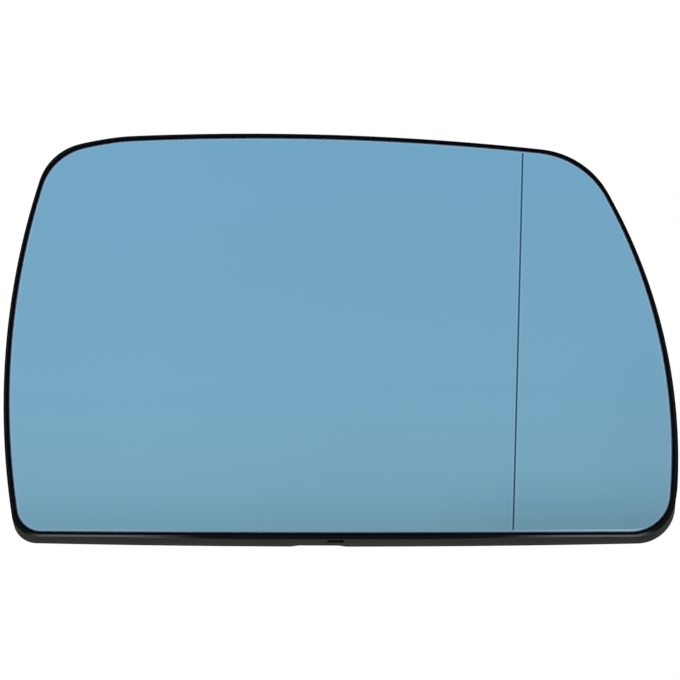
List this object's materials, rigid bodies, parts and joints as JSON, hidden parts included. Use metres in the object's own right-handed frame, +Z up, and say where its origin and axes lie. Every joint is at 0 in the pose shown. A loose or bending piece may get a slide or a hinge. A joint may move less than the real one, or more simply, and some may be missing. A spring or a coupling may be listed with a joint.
{
  "type": "car door mirror glass",
  "caption": "Right-hand door mirror glass with a wide-angle outer zone, bonded with its heater to a moulded backing plate with a snap ring.",
  "frame": {"origin": "on the axis of the snap ring in the back, at the middle of the lands of its hooks", "axes": "+Y along the ring's axis, the way the adjuster leaves, so the mirror's face looks along -Y; +X to the outboard end; +Z up on the door"},
  "size_m": [0.196, 0.0154, 0.1227],
  "materials": {
    "mirror": "blue-tinted mirror coating on bent glass with ground edges",
    "heater_foil": "plastic foil with printed heating tracks",
    "foam_tape": "double-sided foam adhesive",
    "black_plastic": "moulded black plastic, satin lip and finely grained skirt",
    "terminal_brass": "plain stamped brass",
    "rivet_metal": "tinned brass"
  },
  "bodies": {
    "root": {"mirror_glass": "mirror", "heating_film": "heater_foil", "adhesive_sheet": "foam_tape", "backing_plate": "black_plastic", "heater_terminal_1": "terminal_brass", "heater_terminal_2": "terminal_brass", "terminal_rivet_1": "rivet_metal", "terminal_rivet_2": "rivet_metal"}
  },
  "joints": []
}
